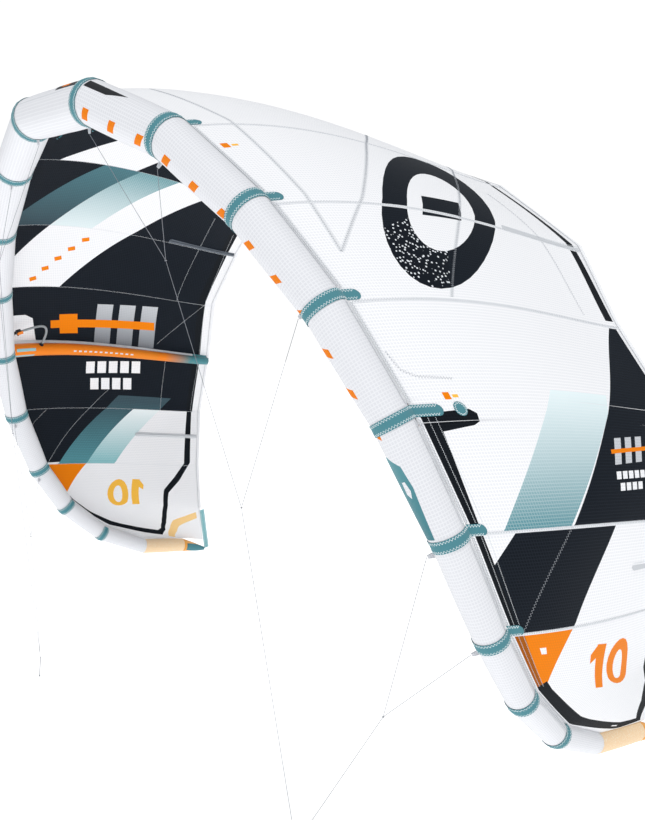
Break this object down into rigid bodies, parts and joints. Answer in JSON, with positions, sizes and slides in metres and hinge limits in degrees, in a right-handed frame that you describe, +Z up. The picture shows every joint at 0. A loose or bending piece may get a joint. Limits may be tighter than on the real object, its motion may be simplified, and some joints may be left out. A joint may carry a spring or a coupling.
{
  "type": "kitesurf kite",
  "caption": "Inflatable kitesurf kite in its flown arch: tube leading edge with seam bands, struts, ripstop canopy, battens, valves, one-pump hoses and taut bridle.",
  "frame": {"origin": "on the leading edge tube's axis at the plane of symmetry, where the kite is held or hung", "axes": "+X along the span towards the right wing, +Y back along the chord to the trailing edge, +Z up out of the arch"},
  "size_m": [3.8574, 2.149, 3.0575],
  "materials": {
    "canopy_ripstop": "satin",
    "bladder_film": "satin",
    "tube_dacron": "satin",
    "teal_band": "matte",
    "strut_casing": "satin",
    "tip_pad": "matte",
    "tip_cone": "satin",
    "teal_webbing": "matte",
    "hem_tape": "matte",
    "batten_rod": "matte",
    "bridle_line": "matte",
    "bridle_tab": "matte",
    "valve_plastic": "satin",
    "valve_cap": "satin",
    "hose": "satin",
    "clip_plastic": "satin",
    "clip_lever": "satin"
  },
  "bodies": {
    "root": {"battens": "batten_rod", "bridle_knots": "bridle_line", "bridle_line_left_1": "bridle_line", "bridle_line_left_2": "bridle_line", "bridle_line_left_3": "bridle_line", "bridle_line_left_4": "bridle_line", "bridle_line_left_5": "bridle_line", "bridle_line_left_6": "bridle_line", "bridle_line_left_7": "bridle_line", "bridle_line_left_8": "bridle_line", "bridle_line_right_1": "bridle_line", "bridle_line_right_2": "bridle_line", "bridle_line_right_3": "bridle_line", "bridle_line_right_4": "bridle_line", "bridle_line_right_5": "bridle_line", "bridle_line_right_6": "bridle_line", "bridle_line_right_7": "bridle_line", "bridle_line_right_8": "bridle_line", "bridle_tabs": "bridle_tab", "canopy_centre": "canopy_ripstop", "canopy_shoulder_left": "canopy_ripstop", "canopy_shoulder_right": "canopy_ripstop", "canopy_strut_left": "canopy_ripstop", "canopy_strut_right": "canopy_ripstop", "canopy_tip_left": "canopy_ripstop", "canopy_tip_right": "canopy_ripstop", "dump_valve_base": "valve_plastic", "hose_clips": "clip_plastic", "hose_elbows": "valve_plastic", "inflate_valve_base": "valve_plastic", "leading_edge_bladder": "bladder_film", "leading_edge_centre": "tube_dacron", "leading_edge_left": "tube_dacron", "leading_edge_right": "tube_dacron", "one_pump_hose_centre": "hose", "one_pump_hose_left": "hose", "one_pump_hose_right": "hose", "seam_bands": "teal_band", "strut_bladders": "bladder_film", "strut_centre": "strut_casing", "strut_left": "strut_casing", "strut_right": "strut_casing", "strut_tail_caps": "teal_band", "tip_cap_left": "teal_webbing", "tip_cap_right": "teal_webbing", "tip_cone_left": "tip_cone", "tip_cone_right": "tip_cone", "tip_pad_left": "tip_pad", "tip_pad_right": "tip_pad", "tip_strap_left": "teal_webbing", "tip_strap_right": "teal_webbing", "trailing_edge_hem_left": "hem_tape", "trailing_edge_hem_right": "hem_tape"},
    "inflate_lid": {"inflate_valve_cap": "valve_cap"},
    "dump_lid": {"dump_valve_cap": "valve_cap"},
    "clip_lever_centre": {"clip_lever_centre": "clip_lever"},
    "clip_lever_right": {"clip_lever_right": "clip_lever"},
    "clip_lever_left": {"clip_lever_left": "clip_lever"},
    "pigtail_right": {"front_pigtail_right": "bridle_line"},
    "pigtail_left": {"front_pigtail_left": "bridle_line"}
  },
  "joints": [
    {"name": "inflate_lid_hinge", "type": "hinge", "parent": "root", "child": "inflate_lid", "pos_m": [-0.205, 0.08219, -0.08196], "axis": [-1, 0, 0], "range_deg": [0, 150]},
    {"name": "dump_lid_hinge", "type": "hinge", "parent": "root", "child": "dump_lid", "pos_m": [0.15, 0.07932, -0.08606], "axis": [-1, 0, 0], "range_deg": [0, 150]},
    {"name": "clip_lever_centre_hinge", "type": "hinge", "parent": "root", "child": "clip_lever_centre", "pos_m": [0.125, 0.11974, -0.01324], "axis": [-1, 0, 0], "range_deg": [0, 110]},
    {"name": "clip_lever_right_hinge", "type": "hinge", "parent": "root", "child": "clip_lever_right", "pos_m": [1.58666, 0.5126, -1.00043], "axis": [-0.4209, -0.3396, 0.8411], "range_deg": [0, 110]},
    {"name": "clip_lever_left_hinge", "type": "hinge", "parent": "root", "child": "clip_lever_left", "pos_m": [-1.58666, 0.5126, -1.00043], "axis": [-0.4209, 0.3396, -0.8411], "range_deg": [0, 110]},
    {"name": "pigtail_right_swing", "type": "hinge", "parent": "root", "child": "pigtail_right", "pos_m": [1.191, 0.567, -2.82], "axis": [1, 0, 0], "range_deg": [-60, 60]},
    {"name": "pigtail_left_swing", "type": "hinge", "parent": "root", "child": "pigtail_left", "pos_m": [-1.191, 0.567, -2.82], "axis": [1, 0, 0], "range_deg": [-60, 60]}
  ]
}
